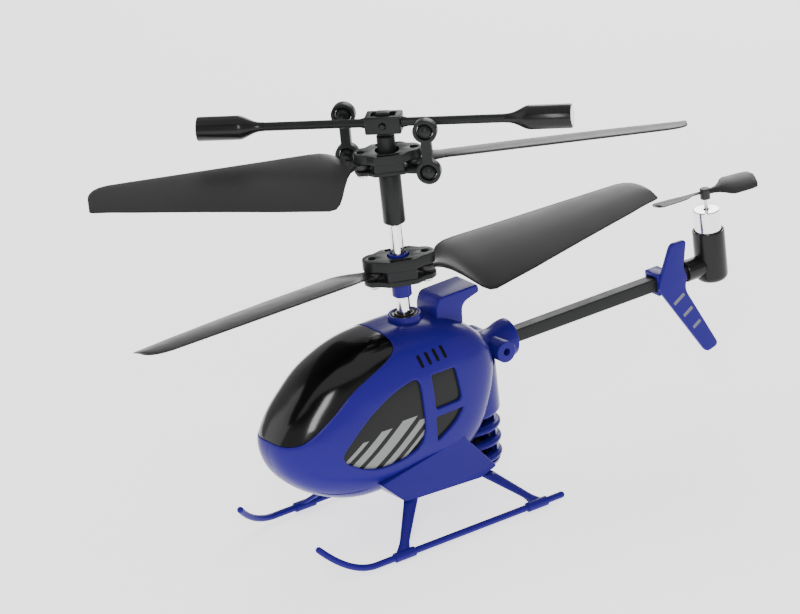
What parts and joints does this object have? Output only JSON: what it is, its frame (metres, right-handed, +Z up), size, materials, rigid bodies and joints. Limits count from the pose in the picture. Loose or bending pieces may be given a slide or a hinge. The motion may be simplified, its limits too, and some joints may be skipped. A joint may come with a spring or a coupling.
{
  "type": "remote control helicopter",
  "caption": "Small indoor coaxial helicopter with an egg-shaped cabin, counter-rotating rotors, weighted flybar, flat-mounted tail rotor and bent-tube skids.",
  "frame": {"origin": "middle of the overall box, on the ground under the skids", "axes": "+Z up along the mast, -Y towards the nose, +X towards the port side"},
  "size_m": [0.0686, 0.1602, 0.0932],
  "materials": {
    "blue": "semi-gloss",
    "glazing": "gloss",
    "black": "satin",
    "blade": "satin",
    "steel": "bright",
    "brass": "satin",
    "nylon": "matte",
    "board": "satin",
    "foil": "metallised wrap"
  },
  "bodies": {
    "airframe": {"fuselage_left": "blue", "fuselage_right": "blue", "windshield": "glazing", "side_window_left": "glazing", "side_window_right": "glazing", "mast_collar": "blue", "intake_duct": "blue", "belly_cover": "blue", "charge_socket": "black", "tail_boom_mount": "blue", "rear_vent_cowl": "blue", "main_frame": "black", "upper_mast_bearing": "black", "lower_mast_bearing": "brass", "battery": "foil", "circuit_board": "board", "front_motor": "steel", "rear_motor": "steel", "tail_boom": "black", "boom_screw": "steel", "tail_fin": "blue", "tail_motor_housing": "black", "tail_motor": "steel", "skid_left": "blue", "skid_right": "blue", "leg_front_left": "blue", "leg_front_right": "blue", "leg_rear_left": "blue", "leg_rear_right": "blue", "case_screw_front": "steel", "case_screw_rear": "steel"},
    "lower_rotor": {"outer_shaft": "steel", "outer_shaft_gear": "nylon", "lower_hub_sleeve": "blue", "lower_rotor_hub": "black", "lower_blade_screw_a": "steel", "lower_blade_screw_b": "steel"},
    "lower_blade_a": {"lower_blade_a": "blade"},
    "lower_blade_b": {"lower_blade_b": "blade"},
    "upper_rotor": {"inner_shaft": "steel", "inner_shaft_gear": "nylon", "rotor_head": "black", "hub_tilt_pin": "steel", "flybar_pin": "steel"},
    "upper_hub": {"upper_rotor_hub": "black", "upper_blade_screw_a": "steel", "upper_blade_screw_b": "steel"},
    "upper_blade_a": {"upper_blade_a": "blade"},
    "upper_blade_b": {"upper_blade_b": "blade"},
    "flybar": {"flybar": "black", "flybar_weight_a": "black", "flybar_weight_b": "black"},
    "flybar_link_a": {"flybar_link_a": "black"},
    "flybar_link_b": {"flybar_link_b": "black"},
    "front_pinion": {"front_pinion": "brass"},
    "rear_pinion": {"rear_pinion": "brass"},
    "tail_rotor": {"tail_rotor": "black", "tail_rotor_shaft": "steel"},
    "power_switch": {"power_switch": "black"}
  },
  "joints": [
    {"name": "lower_rotor_spin", "type": "hinge", "parent": "airframe", "child": "lower_rotor", "pos_m": [0, -0.01571, 0.05615], "axis": [0, 0, 1], "continuous": true},
    {"name": "lower_blade_a_swing", "type": "hinge", "parent": "lower_rotor", "child": "lower_blade_a", "pos_m": [0.00244, -0.01047, 0.05645], "axis": [0, 0, 1], "range_deg": [-45, 20]},
    {"name": "lower_blade_b_swing", "type": "hinge", "parent": "lower_rotor", "child": "lower_blade_b", "pos_m": [-0.00244, -0.02093, 0.05645], "axis": [0, 0, 1], "range_deg": [-45, 20]},
    {"name": "upper_rotor_spin", "type": "hinge", "parent": "airframe", "child": "upper_rotor", "pos_m": [0, -0.01571, 0.07615], "axis": [0, 0, 1], "continuous": true},
    {"name": "flybar_teeter", "type": "hinge", "parent": "upper_rotor", "child": "flybar", "pos_m": [0, -0.01571, 0.09055], "axis": [-0.7193, 0.6947, 0], "range_deg": [-10, 10]},
    {"name": "upper_hub_tilt", "type": "hinge", "parent": "upper_rotor", "child": "upper_hub", "pos_m": [0, -0.01571, 0.08145], "axis": [-0.7193, 0.6947, 0], "range_deg": [-10, 10]},
    {"name": "upper_blade_a_swing", "type": "hinge", "parent": "upper_hub", "child": "upper_blade_a", "pos_m": [0.00297, -0.01076, 0.08145], "axis": [0, 0, 1], "range_deg": [-6, 20]},
    {"name": "upper_blade_b_swing", "type": "hinge", "parent": "upper_hub", "child": "upper_blade_b", "pos_m": [-0.00297, -0.02065, 0.08145], "axis": [0, 0, 1], "range_deg": [-6, 20]},
    {"name": "flybar_link_a_pivot", "type": "hinge", "parent": "flybar", "child": "flybar_link_a", "pos_m": [0.01094, -0.01265, 0.09055], "axis": [-0.7193, 0.6947, 0], "range_deg": [-10, 10]},
    {"name": "flybar_link_b_pivot", "type": "hinge", "parent": "flybar", "child": "flybar_link_b", "pos_m": [-0.01094, -0.01876, 0.09055], "axis": [-0.7193, 0.6947, 0], "range_deg": [-10, 10]},
    {"name": "front_pinion_spin", "type": "hinge", "parent": "airframe", "child": "front_pinion", "pos_m": [0, -0.0257, 0.03465], "axis": [0, 0, 1], "continuous": true},
    {"name": "rear_pinion_spin", "type": "hinge", "parent": "airframe", "child": "rear_pinion", "pos_m": [0, -0.00571, 0.02965], "axis": [0, 0, 1], "continuous": true},
    {"name": "tail_rotor_spin", "type": "hinge", "parent": "airframe", "child": "tail_rotor", "pos_m": [0, 0.06679, 0.04865], "axis": [0, 0, 1], "continuous": true},
    {"name": "power_switch_slide", "type": "slide", "parent": "airframe", "child": "power_switch", "axis": [0, 1, 0], "range_m": [0, 0.002]}
  ],
  "couplings": [
    {"joint": "front_pinion_spin", "follows": "lower_rotor_spin", "ratio": -4},
    {"joint": "rear_pinion_spin", "follows": "upper_rotor_spin", "ratio": -4},
    {"joint": "upper_hub_tilt", "follows": "flybar_teeter", "ratio": 1},
    {"joint": "flybar_link_a_pivot", "follows": "flybar_teeter", "ratio": -1},
    {"joint": "flybar_link_b_pivot", "follows": "flybar_teeter", "ratio": -1}
  ]
}
